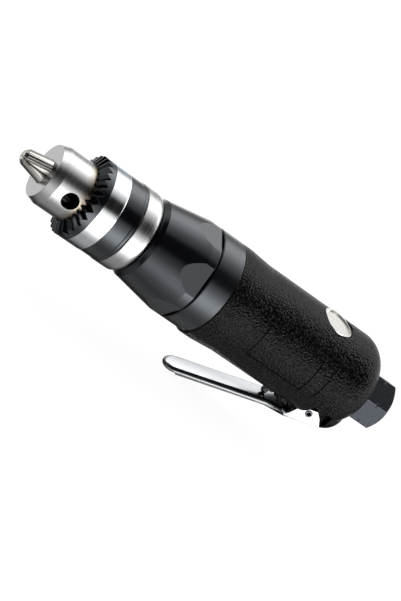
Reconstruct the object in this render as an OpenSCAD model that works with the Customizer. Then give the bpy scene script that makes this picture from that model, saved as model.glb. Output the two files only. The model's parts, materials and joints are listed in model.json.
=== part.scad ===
// Straight air drill with a keyed three-jaw chuck.
// The spin axis is X. The jaw tips lie at the origin, the air inlet points to +X and the lever hangs to -Z.

/* [Chuck] */
// Diameter of the geared chuck sleeve
sleeve_d = 36; // [34:0.5:40]
// Diameter of the chuck nose
nose_d = 26.2; // [25:0.2:28]
// Diameter of the flat front face of the nose
nose_face_d = 23.6; // [20:0.2:24.6]
// How far the closed jaws stand out of the nose
jaw_reach = 11.1; // [8:0.5:14]
// Length of the nose in front of the gear
nose_len = 15.9; // [15:0.1:18]
// Length of the cone between the nose face and its cylinder
nose_cone_len = 3.8; // [2:0.2:5]
// Length of the bevel gear face along the axis
gear_face_len = 1.5; // [1.2:0.1:2.5]
// Depth of the bevel teeth at their outer end
tooth_depth = 2.4; // [1.8:0.1:3]
// Dark band behind the gear teeth
gear_band_len = 4.3; // [3.4:0.1:6]
// Bright band of the sleeve
bright_band_len = 7.7; // [6:0.2:10]
// Dark waist of the sleeve
waist_len = 8.4; // [7:0.2:10]
// Bright rear collar of the chuck body
collar_len = 8.5; // [7:0.5:12]
// Number of bevel teeth on the sleeve
bevel_teeth = 30; // [24:1:36]
// Diameter of a jaw
jaw_d = 8.4; // [7.6:0.1:8.8]
// Slope of the jaws to the spin axis
jaw_angle = 14; // [13:0.5:15]
// Diameter of the bit hole that the closed jaws leave
bit_hole_d = 1; // [0.8:0.1:2]
// Diameter of the centre hole that a drill shank goes into
bit_room_d = 10.2; // [10:0.1:10.8]
// Radial travel of a jaw
jaw_lift = 4.5; // [3:0.1:4.6]
// Diameter of the chuck key holes
key_hole_d = 7.4; // [6:0.1:8]

/* [Nose housing] */
// Diameter of the nose housing and of the ring behind it
housing_d = 42.8; // [41:0.2:46]
// Diameter at the front of the cone
cone_front_d = 36; // [34:0.5:39]
// Length of the cone
cone_len = 20.4; // [16:0.2:24]
// Length of the cylinder behind the cone
rim_len = 4.3; // [3:0.2:8]
// Width across the wrench flats
across_flats = 40.4; // [39.2:0.2:41.4]
// Width of the dark groove behind the nose housing
groove_w = 0.7; // [0.5:0.1:1.5]

/* [Grip] */
// Length of the smooth metal ring in front of the grip
ring_len = 11.1; // [8:0.5:14]
// Length of the grip
grip_len = 82.2; // [81:0.1:86]
// Diameter of the grip
grip_d = 41.8; // [41:0.2:46]
// Step from the ring up to the collar at the front of the grip
collar_step = 0.4; // [0.1:0.1:2]
// Length of the collar
grip_collar_len = 5.7; // [4:0.2:8]
// Radius of the rounded rear end
tail_round = 13; // [11:0.5:15]
// Diameter of the metal plug in the top of the grip
plug_d = 15.2; // [14:0.2:17]
// Place of the throttle valve behind the front of the grip
valve_setback = 52.9; // [51:0.1:54]

/* [Lever] */
// Length of the lever in front of its pin
lever_len = 65; // [58:0.5:68]
// Width of the finger part of the lever
lever_w = 10.4; // [10:0.2:13]
// Angle of the lever when it is let go
lever_rest = 16.2; // [15.8:0.1:16.8]
// Thickness of the lever sheet
lever_t = 1.4; // [1.2:0.1:1.6]
// Diameter of the lever pin
lever_pin_d = 3.2; // [2.6:0.1:3.4]

/* [Air inlet] */
// Width across the flats of the inlet bushing
inlet_af = 21; // [19:0.5:22]
// Length of the hexagon
inlet_hex_len = 14; // [12:0.5:16]
// Diameter of the pipe thread's bore
inlet_bore_d = 11.4; // [11:0.1:12]
// Depth of the pipe thread
inlet_depth = 12; // [10:0.5:15]

/* [Gears] */
// Gear module
gear_m = 0.7; // [0.68:0.005:0.71]
// Teeth of the rotor pinion
sun_teeth = 12; // [12]
// Teeth of each planet gear
planet_teeth = 15; // [15]
// Width of the gears
gear_w = 8.5; // [7:0.5:9]

/* [Motor] */
// Diameter of the rotor
rotor_d = 25; // [24:0.2:25.4]
// Length of the rotor
rotor_len = 37; // [33:0.5:38]
// Outer diameter of the motor cylinder
cylinder_d = 34.2; // [33.8:0.1:34.3]
// Offset of the cylinder bore from the spin axis
motor_offset = 1.4; // [1:0.1:1.6]
// Number of vanes
vanes = 5; // [4:1:6]

/* [Hidden] */
$fn = 96;

// Clearances: running fits, seats, gaps between bodies, and the overrun of every cut
run_gap = 0.06;
seat_gap = 0.04;
free_gap = 0.3;
cut = 1;

// Chuck, from the jaw tips to the rear
nose_x = jaw_reach;
gear_x = nose_x + nose_len;
gear_end_x = gear_x + gear_face_len;
band_x = gear_end_x + gear_band_len;
waist_x = band_x + bright_band_len;
sleeve_end_x = waist_x + waist_len;
collar_gap = 0.4;
collar_x = sleeve_end_x + collar_gap;
chuck_end_x = collar_x + collar_len;
collar_edge_len = 3.1;
collar_edge_h = 1.4;
collar_edge_r = (pow(collar_edge_len, 2) + pow(collar_edge_h, 2)) / (2 * collar_edge_h);
key_hole_setback = 4.6;
band_bevel = 0.35;
waist_lip_len = 1.05;
waist_depth = 0.2;
gear_wall = 0.5;
tooth_inner_share = 0.75;
tooth_half_w_share = 0.77;
nut_wall = 2.3;
nut_len = 5;
nut_x = gear_end_x + tooth_depth + free_gap;
nut_end_x = nut_x + nut_len;
nut_slit = 0.4;
sleeve_wall = 1.6;
sleeve_cavity_d = sleeve_d - 2 * sleeve_wall;

// Jaws: the outer line of a jaw at the origin, its axis there, and its length
jaw_tip_r = 3.05;
jaw_r = jaw_d / 2;
jaw_tan = tan(jaw_angle);
jaw_axis_r0 = jaw_tip_r - jaw_r / cos(jaw_angle);
jaw_tail_x = nut_end_x + free_gap;
jaw_travel_x = jaw_lift / jaw_tan;
jaw_split = 0.3;
jaw_tip_bevel = 0.9;
jaw_tip_run = 1.8;
jaw_phase = 23;
function jaw_line(x) = jaw_tip_r + x * jaw_tan;

// Spindle nose in the chuck
spindle_d = 12;
spindle_nose_d = 9;
spindle_nose_len = 11.5;
spindle_nose_x = chuck_end_x - spindle_nose_len;
bit_room_wall = 4;
bit_room_end_x = spindle_nose_x - bit_room_wall;

// Nose housing
chuck_gap = 0.9;
housing_x = chuck_end_x + chuck_gap;
front_edge_len = 1.9;
front_edge_h = 2;
flats_turn = 36;
cone_x = housing_x + front_edge_len;
cone_end_x = cone_x + cone_len;
housing_end_x = cone_end_x + rim_len;
ring_x = housing_end_x + groove_w;
grip_x = ring_x + ring_len;
spigot_len = 7;
spigot_d = 37.6;
spigot_end_x = ring_x + spigot_len;
mouth_d = 20;
mouth_depth = 3.5;

// Spindle bearing
big_bearing_d = 28;
big_bearing_w = 8;
big_balls = 8;
ball_share = 0.3;
big_bearing_x = housing_x + mouth_depth;
shaft_gap = 0.4;
wide_gap = 1;

// Carrier and planets
carrier_d = 26;
carrier_t = 6;
carrier_x = big_bearing_x + big_bearing_w + wide_gap;
gear_face_x = carrier_x + carrier_t + shaft_gap;
gear_end = gear_face_x + gear_w;
ring_teeth = sun_teeth + 2 * planet_teeth;
pressure_angle = 25;
backlash = 0.14;
carrier_r = gear_m * (sun_teeth + planet_teeth) / 2;
planet_pin_d = 3.9;
planet_count = 3;
planet_phase = 0;
gear_room_x = carrier_x - shaft_gap;
gear_bore_d = cylinder_d + 2 * seat_gap;

// Motor stack
plate_t = 6;
plate_x = gear_end + wide_gap;
cylinder_x = plate_x + plate_t;
end_gap = 0.15;
cylinder_len = rotor_len + 2 * end_gap;
rotor_x = cylinder_x + end_gap;
rear_plate_x = cylinder_x + cylinder_len;
rear_plate_end_x = rear_plate_x + plate_t;
motor_bore_d = rotor_d + 2 * (motor_offset + free_gap);
case_tube_d = 37.2;
case_floor = 1.5;
case_end_x = rear_plate_end_x + case_floor;
case_lip = 2.5;
small_bearing_w = 5;
front_bearing_d = 19;
front_shaft_d = 10;
rear_bearing_d = 16;
rear_shaft_d = 8;
vane_t = 1.6;
vane_h = 5.5;
port_d = 3;
port_count = 5;
dowel_d = 2.5;
dowel_r = (motor_bore_d + cylinder_d) / 4 - motor_offset / 2;
port_spread = 60;
dowel_in = 3;
root_share = 1.25;
ring_bevel = 0.4;
front_balls = 8;
rear_balls = 7;
rear_bearing_x = rear_plate_end_x - small_bearing_w;

// Grip
grip_drop = 0.5;
grip_end_x = grip_x + grip_len;
grip_r = grip_d / 2;
grip_collar_d = housing_d + 2 * collar_step;
grip_end_r = 14;
taper_len = 10.8;
case_bore_depth = case_end_x - grip_x + free_gap;
round_run = sqrt(pow(tail_round, 2) - pow(tail_round - (grip_r - grip_end_r), 2));
panel_setback = 22.4;
panel_x = grip_x + panel_setback;
panel_len = 29.6;
panel_h = 16.4;
panel_z = 2.2;
line_w = 0.6;
line_depth = 0.35;
seam_setback = 58.3;
seam_x = grip_x + seam_setback;
slot_w = 2.6;
slot_len = 9;
slot_count = 4;
slot_pitch = 5.4;
slot_x = grip_x + taper_len + grip_collar_len;
slot_reach_share = 0.6;

// Throttle valve
valve_x = grip_x + valve_setback;
bush_d = 12;
bush_bore_d = 9.2;
seat_hole_d = 6;
seat_z = -7;
bush_bottom_z = -13.5;
bush_top_z = 11.5;
in_port_z = -1.2;
in_port_d = 5.4;
out_port_z = -10.2;
out_port_d = 3.6;
stem_d = 3.2;
head_h = 3;
seal_t = 1.2;
plug_sink = 0.9;
plug_top_z = grip_r - grip_drop - plug_sink;
plug_rim_w = 0.9;
plug_dish = 0.6;
plug_flange_t = 2;
plug_seat_z = plug_top_z - plug_flange_t;
plug_end_gap = 0.5;
plug_spigot_h = plug_seat_z - bush_top_z - plug_end_gap;
plug_fit = 0.05;
plug_spigot_d = bush_d - 2 * plug_fit;
oring_z = plug_seat_z - plug_spigot_h / 2;
stem_guide_d = 6.4;
stem_guide_reach = 1.9;
stem_guide_in = 4;
spring_wire = 0.8;
spring_d = 7.2;
spring_turns = 6;
spring_steps = 8;

// Lever, pin and latch. The pin is the lever's own origin.
pin_setback = 71.4;
pin_x = grip_x + pin_setback;
pin_rise = 2.4;
pin_z = pin_rise - grip_r - grip_drop;
pin_stand = 0.4;
pin_wall = 0.65;
pin_slit = 0.5;
lug_half_w = 6.3;
lug_r = 3.4;
ear_gap = 0.3;
ear_in = lug_half_w + ear_gap;
ear_out = ear_in + lever_t;
web_drop = 2.6;
web_end = 3.6;
lever_h = 5.1;
tip_rim = 0.4;
edge_start = 59;
shoulder_len = 8.4;
ear_front = 9.6;
ear_crest = 4.5;
ear_back = 3.2;
ear_tail = 7.2;
ear_bend = [5.6, -1.1];
ear_top = 2.2;
recess_roof = 1.2;
recess_top_z = pin_z + ear_top + recess_roof;
recess_slope = 28;
recess_front = 6.8;
recess_rear = 8.9;
recess_x = pin_x - recess_front;
recess_end_x = pin_x + recess_rear;
tail_lug_r = 9.3;
tail_lug_back = 7.3;
tail_lug_x = pin_x + tail_lug_back;
tail_lug_rise = 5.6;
tail_lug_z = tail_lug_rise - grip_r - grip_drop;
latch_front = 10.5;
latch_x = -latch_front;
latch_drop = 3.6;
latch_pin_d = 1.6;
latch_pin_len = 13.8;
latch_w = 6;
latch_r = 1.6;
latch_cam_r = 3.3;
latch_arm = 3.65;
latch_lean = 8.8;
latch_t = 1.6;
latch_slot_front = 3.7;
latch_slot_len = 5.6;
function web_top_z(x) = pin_z - web_drop / cos(lever_rest) - (pin_x - x) * tan(lever_rest);
stem_gap = 0.1;
stem_ball_z = web_top_z(valve_x) + (stem_d / 2 + stem_gap) / cos(lever_rest);

// Air inlet
inlet_drop = 1.2;
inlet_end_x = grip_end_x + inlet_hex_len;
inlet_spigot_d = 18;
inlet_spigot_len = 13;
inlet_waist_d = 9;
inlet_nick_w = 0.9;
inlet_nick_depth = 0.8;
inlet_nick_shares = [0.02, 0.44];
inlet_turn = 6;
inlet_bevel = 2.2;
inlet_x = grip_end_x - inlet_spigot_len;
inlet_oring_in = 4;
inlet_oring_x = inlet_x + inlet_oring_in;
screen_t = 0.8;
screen_len = 9;
oring_wire = 1.8;

// Points of an arc from angle a to angle b, about the point c
function arc(c, r, a, b, n = 10) =
    [for (i = [0 : n]) c + r * [cos(a + (b - a) * i / n), sin(a + (b - a) * i / n)]];

// Involute angle in degrees at pressure angle a
function involute(a) = tan(a) * 180 / PI - a;
function flank(teeth, r, thin) = let (base = gear_m * teeth / 2 * cos(pressure_angle), at = max(r, base))
    90 / teeth - thin / (gear_m * teeth) * 180 / PI + involute(pressure_angle) - involute(acos(base / at));
function on_circle(r, a) = r * [cos(a), sin(a)];

// Outline of a gear with the given tooth height over and under the pitch circle
function gear_points(teeth, over, under, thin) =
    let (pitch_r = gear_m * teeth / 2, tip_r = pitch_r + over, root_r = pitch_r - under,
         radii = [root_r, pitch_r - under / 2, pitch_r, pitch_r + over / 2, tip_r])
    [for (k = [0 : teeth - 1])
        each concat([for (r = radii) on_circle(r, k * 360 / teeth - flank(teeth, r, thin))],
                    [for (i = [len(radii) - 1 : -1 : 0])
                        on_circle(radii[i], k * 360 / teeth + flank(teeth, radii[i], thin))])];

// Stands the child's Z axis along X, from the place x
module along_x(x = 0, z = 0) {
    translate([x, 0, z]) rotate([0, 90, 0]) children();
}

// A turned piece: the outline holds places along X and radii
module turned(outline, z = 0) {
    along_x(0, z) rotate_extrude() polygon([for (p = outline) [p[1], p[0]]]);
}

module rod(x, len, d, z = 0) {
    along_x(x, z) cylinder(d = d, h = len);
}

module tube(x, len, d, bore) {
    difference() {
        rod(x, len, d);
        rod(x - cut, len + 2 * cut, bore);
    }
}

// An upright rod from z to z + h
module post(x, z, h, d) {
    translate([x, 0, z]) cylinder(d = d, h = h);
}

module cross_rod(x, z, len, d) {
    translate([x, len / 2, z]) rotate([90, 0, 0]) cylinder(d = d, h = len);
}

module at_jaw(i) {
    rotate([jaw_phase + i * 120, 0, 0]) children();
}

// A rod along the sloped axis of one jaw, between two places on X
module jaw_rod(x0, x1, d) {
    len = (x1 - x0) / cos(jaw_angle);
    translate([x0, 0, jaw_axis_r0 + x0 * jaw_tan]) rotate([0, 90 - jaw_angle, 0]) cylinder(d = d, h = len);
}

module jaw(i) {
    wedge = sleeve_d;
    color("silver") at_jaw(i) difference() {
        intersection() {
            jaw_rod(-jaw_reach, jaw_tail_x, jaw_d);
            turned([[0, 0], [0, jaw_tip_r - jaw_tip_bevel], [jaw_tip_run, jaw_tip_r + jaw_tip_bevel],
                [wedge, sleeve_d], [jaw_tail_x + wedge, sleeve_d], [jaw_tail_x + wedge, 0]]);
            translate([-cut, 0, jaw_split / tan(60)]) rotate([90, 0, 90]) linear_extrude(jaw_tail_x + wedge)
                polygon([[0, 0], [wedge * tan(60), wedge], [-wedge * tan(60), wedge]]);
        }
        rod(-cut, jaw_tail_x + wedge, bit_hole_d);
    }
}

module jaw_1() { jaw(0); }
module jaw_2() { jaw(1); }
module jaw_3() { jaw(2); }

module chuck_body() {
    nose_r = nose_d / 2;
    sleeve_r = sleeve_d / 2;
    groove_r = jaw_line(nut_x) - free_gap;
    bore_end_x = jaw_tail_x + jaw_travel_x + free_gap;
    color("gainsboro") difference() {
        turned([[nose_x, 0], [nose_x, nose_face_d / 2], [nose_x + nose_cone_len, nose_r],
            [nut_x - free_gap, nose_r], [nut_x - free_gap, groove_r], [nut_end_x + free_gap, groove_r],
            [nut_end_x + free_gap, nose_r], [collar_x, nose_r], [collar_x, sleeve_r - band_bevel],
            [collar_x + band_bevel, sleeve_r],
            each arc([chuck_end_x - collar_edge_len, sleeve_r - collar_edge_r], collar_edge_r, 90,
                asin(1 - collar_edge_h / collar_edge_r), 6), [chuck_end_x, 0]]);
        for (i = [0 : 2]) {
            at_jaw(i) jaw_rod(0, bore_end_x, jaw_d + 2 * run_gap);
            // key holes, midway between the jaws and close to the gear
            at_jaw(i + 0.5) post(gear_x - key_hole_setback, jaw_r, nose_d, key_hole_d);
        }
        rod(nose_x - cut, bit_room_end_x - nose_x + cut, bit_room_d);
        rod(spindle_nose_x, spindle_nose_len + cut, spindle_nose_d + 2 * seat_gap);
    }
}

// The bevel gear is cut into the front cone of the sleeve
module chuck_sleeve() {
    sleeve_r = sleeve_d / 2;
    front_r = nose_d / 2 + free_gap;
    crest_r = front_r + gear_wall;
    nut_r = jaw_line(nut_end_x) + nut_wall;
    cavity_r = sleeve_cavity_d / 2;
    root_x = gear_end_x + tooth_depth;
    tooth_cut_h = 2 * tooth_depth;
    tooth_cut_w = tooth_cut_h * tooth_half_w_share;
    root_angle = atan2(sleeve_r - crest_r, root_x - gear_x - tooth_depth * tooth_inner_share);
    color("dimgray") difference() {
        turned([[gear_x, front_r], [gear_x, crest_r], [gear_end_x, sleeve_r],
            [waist_x - band_bevel, sleeve_r], [waist_x, sleeve_r - waist_depth],
            [sleeve_end_x - waist_lip_len - band_bevel, sleeve_r - waist_depth],
            [sleeve_end_x - waist_lip_len, sleeve_r], [sleeve_end_x, sleeve_r],
            [sleeve_end_x, cavity_r], [nut_end_x, cavity_r], [nut_end_x, nut_r + seat_gap],
            [nut_x, nut_r + seat_gap], [nut_x, front_r]]);
        for (k = [0 : bevel_teeth - 1])
            rotate([k * 360 / bevel_teeth, 0, 0]) translate([root_x, 0, sleeve_r])
                rotate([0, 270 - root_angle, 0]) rotate([0, 0, -90])
                translate([0, 0, -tooth_depth])
                linear_extrude(tooth_depth + tooth_cut_h + sleeve_r - front_r)
                polygon([[0, 0], [tooth_cut_w, tooth_cut_h], [-tooth_cut_w, tooth_cut_h]]);
    }
}

// The threaded nut is split so that it goes into the groove of the body
module chuck_nut() {
    nut_r = jaw_line(nut_end_x) + nut_wall;
    color("darkgray") difference() {
        turned([[nut_x, jaw_line(nut_x) + jaw_split / 2], [nut_x, nut_r], [nut_end_x, nut_r],
            [nut_end_x, jaw_line(nut_end_x) + jaw_split / 2]]);
        translate([nut_x - cut, -nut_slit / 2, -sleeve_d]) cube([nut_len + 2 * cut, nut_slit, 2 * sleeve_d]);
    }
}

module nose_housing() {
    front_r = cone_front_d / 2;
    hex_d = across_flats / cos(30);
    color("#202020") difference() {
        union() {
            intersection() {
                turned([[housing_x, 0], [housing_x, front_r - front_edge_h],
                    [cone_x, front_r], [cone_end_x, housing_d / 2], [housing_end_x, housing_d / 2],
                    [housing_end_x, 0]]);
                along_x(housing_x - cut) rotate(flats_turn) cylinder(d = hex_d, h = spigot_end_x, $fn = 6);
            }
            rod(cone_end_x, spigot_end_x - cone_end_x, spigot_d);
        }
        rod(housing_x - cut, mouth_depth + cut, mouth_d);
        rod(big_bearing_x, gear_room_x - big_bearing_x + cut, big_bearing_d + 2 * seat_gap);
        rod(gear_room_x, spigot_end_x, gear_bore_d);
    }
}

// The parts of a ball bearing: two rings with a shared race, and the balls
function ball_d(d, bore) = (d - bore) * ball_share;
function ball_ring_r(d, bore) = (d + bore) / 4;

module race_cut(x, w, d, bore) {
    along_x(x + w / 2) rotate_extrude() translate([ball_ring_r(d, bore), 0])
        circle(d = ball_d(d, bore) + 2 * run_gap);
}

module bearing_outer(x, w, d, bore) {
    color("lightsteelblue") difference() {
        tube(x, w, d, 2 * ball_ring_r(d, bore) + ball_d(d, bore) / 2);
        race_cut(x, w, d, bore);
    }
}

module bearing_inner(x, w, d, bore) {
    color("lightsteelblue") difference() {
        tube(x, w, 2 * ball_ring_r(d, bore) - ball_d(d, bore) / 2, bore);
        race_cut(x, w, d, bore);
    }
}

module bearing_balls(x, w, d, bore, count) {
    color("white") for (k = [0 : count - 1])
        rotate([k * 360 / count, 0, 0]) translate([x + w / 2, 0, ball_ring_r(d, bore)])
            sphere(d = ball_d(d, bore));
}

module spindle_bearing_outer() {
    bearing_outer(big_bearing_x, big_bearing_w, big_bearing_d, spindle_d + seat_gap);
}

module spindle_bearing_inner() {
    bearing_inner(big_bearing_x, big_bearing_w, big_bearing_d, spindle_d + seat_gap);
}

module spindle_bearing_balls() {
    bearing_balls(big_bearing_x, big_bearing_w, big_bearing_d, spindle_d + seat_gap, big_balls);
}

module spindle_seal() {
    color("saddlebrown") tube(housing_x + free_gap, mouth_depth - 2 * free_gap, mouth_d - seat_gap,
        spindle_d + 2 * free_gap);
}

// Spindle nose, shaft and planet carrier in one piece
module output_spindle() {
    color("silver") difference() {
        turned([[spindle_nose_x + free_gap, 0], [spindle_nose_x + free_gap, spindle_nose_d / 2],
            [chuck_end_x + seat_gap, spindle_nose_d / 2], [chuck_end_x + seat_gap, spindle_d / 2],
            [carrier_x - shaft_gap, spindle_d / 2], [carrier_x - shaft_gap, spindle_d / 2 + shaft_gap],
            [carrier_x, spindle_d / 2 + shaft_gap], [carrier_x, carrier_d / 2],
            [carrier_x + carrier_t, carrier_d / 2], [carrier_x + carrier_t, 0]]);
        for (i = [1 : planet_count])
            at_planet(i) rod(carrier_x - cut, carrier_t + 2 * cut, planet_pin_d + 2 * seat_gap);
    }
}

module at_planet(i) {
    rotate([planet_phase + i * 360 / planet_count, 0, 0]) translate([0, 0, carrier_r]) children();
}

module planet_pins() {
    color("gainsboro") for (i = [1 : planet_count])
        at_planet(i) rod(carrier_x, gear_end + shaft_gap - carrier_x, planet_pin_d);
}

module planet_gear(i) {
    color("slategray") at_planet(i) difference() {
        along_x(gear_face_x) rotate(180) linear_extrude(gear_w)
            polygon(gear_points(planet_teeth, gear_m, gear_m * root_share, backlash / 2));
        rod(gear_face_x - cut, gear_w + 2 * cut, planet_pin_d + 2 * run_gap);
    }
}

module planet_gear_1() { planet_gear(1); }
module planet_gear_2() { planet_gear(2); }
module planet_gear_3() { planet_gear(3); }

// The internal gear is the space that a gear of as many teeth would fill
module ring_gear() {
    color("slategray") difference() {
        rod(gear_face_x, gear_w, cylinder_d);
        along_x(gear_face_x - cut) linear_extrude(gear_w + 2 * cut)
            polygon(gear_points(ring_teeth, gear_m * root_share, gear_m, -backlash / 2));
    }
}

// Metal ring in front of the grip, with the tube that holds the motor
module motor_case() {
    color("#282828") difference() {
        union() {
            turned([[ring_x, 0], [ring_x, housing_d / 2 - ring_bevel], [ring_x + ring_bevel, housing_d / 2],
                [grip_x, housing_d / 2], [grip_x, 0]]);
            rod(grip_x - cut, case_end_x - grip_x + cut, case_tube_d);
        }
        rod(ring_x - cut, spigot_len + cut, spigot_d + 2 * seat_gap);
        rod(ring_x, rear_plate_end_x - ring_x, cylinder_d + 2 * seat_gap);
        rod(rear_plate_end_x - cut, case_end_x, cylinder_d - 2 * case_lip);
        exhaust_slots(case_tube_d / 2);
    }
}

// Vents on the underside, through the tube and the grip
module exhaust_slots(r) {
    for (k = [0 : slot_count - 1])
        translate([slot_x + k * slot_pitch, -slot_len / 2, -grip_d])
            cube([slot_w, slot_len, grip_d - r * slot_reach_share]);
}

module plate_dowel_hole(x, len) {
    rod(x, len, dowel_d + 2 * run_gap, dowel_r);
}

module front_end_plate() {
    color("tan") difference() {
        rod(plate_x, plate_t, cylinder_d);
        rod(plate_x - cut, small_bearing_w + cut, front_bearing_d + 2 * seat_gap);
        rod(plate_x, plate_t + cut, front_shaft_d + 2 * free_gap);
        plate_dowel_hole(cylinder_x - dowel_in, dowel_in + cut);
    }
}

module rear_end_plate() {
    color("tan") difference() {
        rod(rear_plate_x, plate_t, cylinder_d);
        rod(rear_plate_end_x - small_bearing_w, small_bearing_w + cut, rear_bearing_d + 2 * seat_gap);
        rod(rear_plate_x - cut, plate_t + cut, rear_shaft_d + 2 * free_gap);
        plate_dowel_hole(rear_plate_x - cut, plate_t + 2 * cut);
        // air ports into the chambers
        for (a = [-1, 1]) rotate([a * port_spread, 0, 0])
            rod(rear_plate_x - cut, plate_t + 2 * cut, port_d, rotor_d / 2 - port_d / 2);
    }
}

module motor_cylinder() {
    color("darkgray") difference() {
        rod(cylinder_x, cylinder_len, cylinder_d);
        rod(cylinder_x - cut, cylinder_len + 2 * cut, motor_bore_d, -motor_offset);
        plate_dowel_hole(cylinder_x - cut, cylinder_len + 2 * cut);
        for (k = [1 : port_count])
            post(cylinder_x + k * cylinder_len / (port_count + 1), -cylinder_d, cylinder_d, port_d);
    }
}

module cylinder_dowel() {
    color("silver")
        rod(cylinder_x - dowel_in + seat_gap, cylinder_len + dowel_in + plate_t / 2, dowel_d, dowel_r);
}

// Rotor with its two journals and the pinion that drives the planets
module rotor() {
    color("gray") difference() {
        union() {
            rod(rotor_x, rotor_len, rotor_d);
            rod(plate_x, rotor_x - plate_x + cut, front_shaft_d);
            rod(rotor_x, rear_plate_end_x - rotor_x, rear_shaft_d);
            along_x(gear_face_x) linear_extrude(plate_x - gear_face_x + cut)
                polygon(gear_points(sun_teeth, gear_m, gear_m * root_share, backlash / 2));
        }
        for (k = [0 : vanes - 1]) at_vane(k)
            translate([rotor_x - cut, -vane_t / 2 - run_gap, rotor_d / 2 - vane_h - free_gap])
                cube([rotor_len + 2 * cut, vane_t + 2 * run_gap, rotor_d]);
    }
}

module at_vane(k) {
    rotate([k * 360 / vanes, 0, 0]) children();
}

module rotor_vanes() {
    color("peru") for (k = [0 : vanes - 1]) at_vane(k) intersection() {
        translate([rotor_x + seat_gap, -vane_t / 2, rotor_d / 2 - vane_h])
            cube([rotor_len - 2 * seat_gap, vane_t, vane_h]);
        rod(rotor_x, rotor_len, rotor_d);
    }
}

module front_bearing_outer() {
    bearing_outer(plate_x, small_bearing_w, front_bearing_d, front_shaft_d + seat_gap);
}

module front_bearing_inner() {
    bearing_inner(plate_x, small_bearing_w, front_bearing_d, front_shaft_d + seat_gap);
}

module front_bearing_balls() {
    bearing_balls(plate_x, small_bearing_w, front_bearing_d, front_shaft_d + seat_gap, front_balls);
}

module rear_bearing_outer() {
    bearing_outer(rear_bearing_x, small_bearing_w, rear_bearing_d, rear_shaft_d + seat_gap);
}

module rear_bearing_inner() {
    bearing_inner(rear_bearing_x, small_bearing_w, rear_bearing_d, rear_shaft_d + seat_gap);
}

module rear_bearing_balls() {
    bearing_balls(rear_bearing_x, small_bearing_w, rear_bearing_d, rear_shaft_d + seat_gap, rear_balls);
}

// Outer skin of the grip: a collar, a slim waist and a rounded rear end
module grip_skin(inset = 0) {
    r = grip_r - inset;
    turned([[grip_x, 0], [grip_x, grip_collar_d / 2 - ring_bevel - inset],
        [grip_x + ring_bevel, grip_collar_d / 2 - inset],
        [grip_x + grip_collar_len, grip_collar_d / 2 - inset], [grip_x + grip_collar_len + taper_len, r],
        each arc([grip_end_x - round_run, r - tail_round], tail_round, 90,
            asin(1 - (grip_r - grip_end_r) / tail_round), 12),
        [grip_end_x, 0]], -grip_drop);
}

// Shallow moulded lines: the frame of the side panel and a seam behind it
module moulded_lines() {
    difference() {
        union() {
            difference() {
                panel_block(0);
                panel_block(line_w);
            }
            translate([seam_x, -grip_d, panel_z - panel_h / 2]) cube([line_w, grip_d, panel_h]);
        }
        grip_skin(line_depth);
    }
}

module panel_block(inset) {
    translate([panel_x + inset, -grip_d, panel_z - panel_h / 2 + inset])
        cube([panel_len - 2 * inset, grip_d, panel_h - 2 * inset]);
}

// Hollows beside the lug, in which the ears of the lever swing
module ear_recess() {
    roof_z = recess_top_z + (grip_r - lug_half_w) * tan(recess_slope);
    for (side = [-1, 1])
        translate([recess_x, 0, 0]) rotate([90, 0, 90]) linear_extrude(recess_end_x - recess_x)
            polygon([[side * lug_half_w, -grip_d], [side * lug_half_w, recess_top_z],
                [side * grip_r, roof_z], [side * grip_r, -grip_d]]);
}

// A block between two places on X, as wide on both sides, from z0 to z1
module lug_block(x0, x1, half_w, z0, z1) {
    translate([x0, -half_w, z0]) cube([x1 - x0, 2 * half_w, z1 - z0]);
}

module grip_housing() {
    color("#1a1a1a") difference() {
        union() {
            difference() {
                grip_skin();
                ear_recess();
                moulded_lines();
            }
            // lug for the lever pin, and the swollen tail behind it
            cross_rod(pin_x, pin_z, 2 * lug_half_w, 2 * lug_r);
            lug_block(pin_x, recess_end_x, lug_half_w, pin_z - lug_r, pin_z + lug_r);
            intersection() {
                translate([tail_lug_x, 0, tail_lug_z]) sphere(r = tail_lug_r);
                union() {
                    lug_block(pin_x, grip_end_x, lug_half_w, -grip_d, 0);
                    lug_block(recess_end_x, tail_lug_x + tail_lug_r, grip_r, -grip_d, 0);
                }
            }
        }
        rod(grip_x - cut, case_bore_depth + cut, case_tube_d + 2 * seat_gap);
        exhaust_slots(case_tube_d / 2);
        // throttle bore with the seat of the plug, and the stem's way out
        post(valve_x, bush_bottom_z, grip_d, bush_d + 2 * seat_gap);
        post(valve_x, plug_seat_z, grip_d, plug_d + 2 * seat_gap);
        post(valve_x, -grip_d, grip_d, stem_d + 2 * free_gap);
        post(valve_x, -grip_d, grip_d - grip_r - grip_drop + stem_guide_in, stem_guide_d + 2 * seat_gap);
        // air ways: inlet to valve, and valve to motor
        rod(valve_x, grip_len, in_port_d, in_port_z);
        rod(grip_x + case_bore_depth - cut, valve_x - grip_x - case_bore_depth + cut, out_port_d, out_port_z);
        rod(inlet_x, grip_len, inlet_spigot_d + 2 * seat_gap, -inlet_drop);
        rod(grip_end_x, grip_len, inlet_af / cos(30) + 2 * free_gap, -inlet_drop);
        cross_rod(pin_x, pin_z, grip_d, lever_pin_d + 2 * seat_gap);
    }
}

module throttle_bushing() {
    color("goldenrod") difference() {
        post(valve_x, bush_bottom_z + seat_gap, bush_top_z - bush_bottom_z, bush_d);
        post(valve_x, seat_z, grip_d, bush_bore_d);
        post(valve_x, -grip_d, 2 * grip_d, seat_hole_d);
        rod(valve_x, bush_d, in_port_d, in_port_z);
        rod(valve_x - bush_d, bush_d, out_port_d, out_port_z);
    }
}

// Valve head, stem and the rounded end that the lever pushes
module throttle_valve() {
    color("silver") {
        translate([valve_x, 0, stem_ball_z]) sphere(d = stem_d);
        post(valve_x, stem_ball_z, seat_z + seal_t + seat_gap - stem_ball_z, stem_d);
        post(valve_x, seat_z + seal_t + seat_gap, head_h, bush_bore_d - 2 * free_gap);
    }
}

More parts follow.
